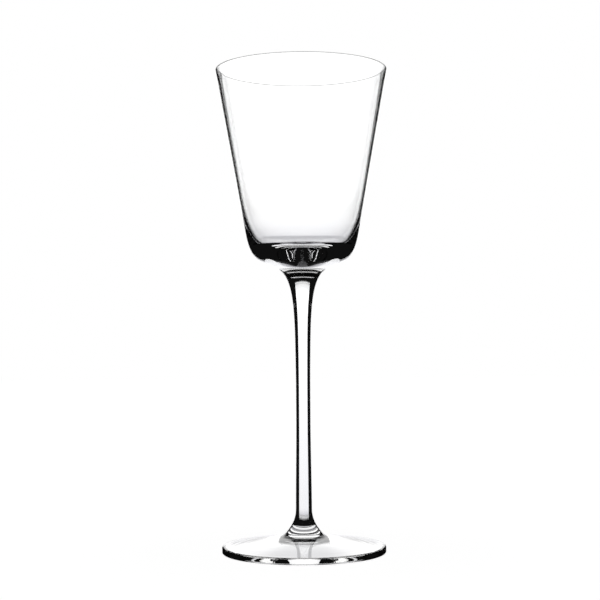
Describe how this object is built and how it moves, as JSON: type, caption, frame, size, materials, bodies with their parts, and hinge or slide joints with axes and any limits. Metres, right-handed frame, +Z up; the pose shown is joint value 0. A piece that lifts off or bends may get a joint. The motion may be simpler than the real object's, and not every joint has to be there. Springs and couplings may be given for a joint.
{
  "type": "cocktail glass",
  "caption": "Clear stemmed cocktail glass: a straight-sided tapered bowl with a heavy base on a slim drawn stem and a round, gently coned foot.",
  "frame": {"origin": "middle of the foot's underside, on the surface that the glass stands on", "axes": "+Z up the stem, along the axis that every piece is turned about"},
  "size_m": [0.08, 0.08, 0.225],
  "materials": {
    "bowl_glass": "clear colourless blown glass, fire-polished",
    "stem_glass": "clear colourless drawn glass, fire-polished",
    "foot_glass": "clear colourless pressed glass, faint spin marks, fire-polished edge"
  },
  "bodies": {
    "root": {"bowl": "bowl_glass", "stem": "stem_glass", "foot": "foot_glass"}
  },
  "joints": []
}
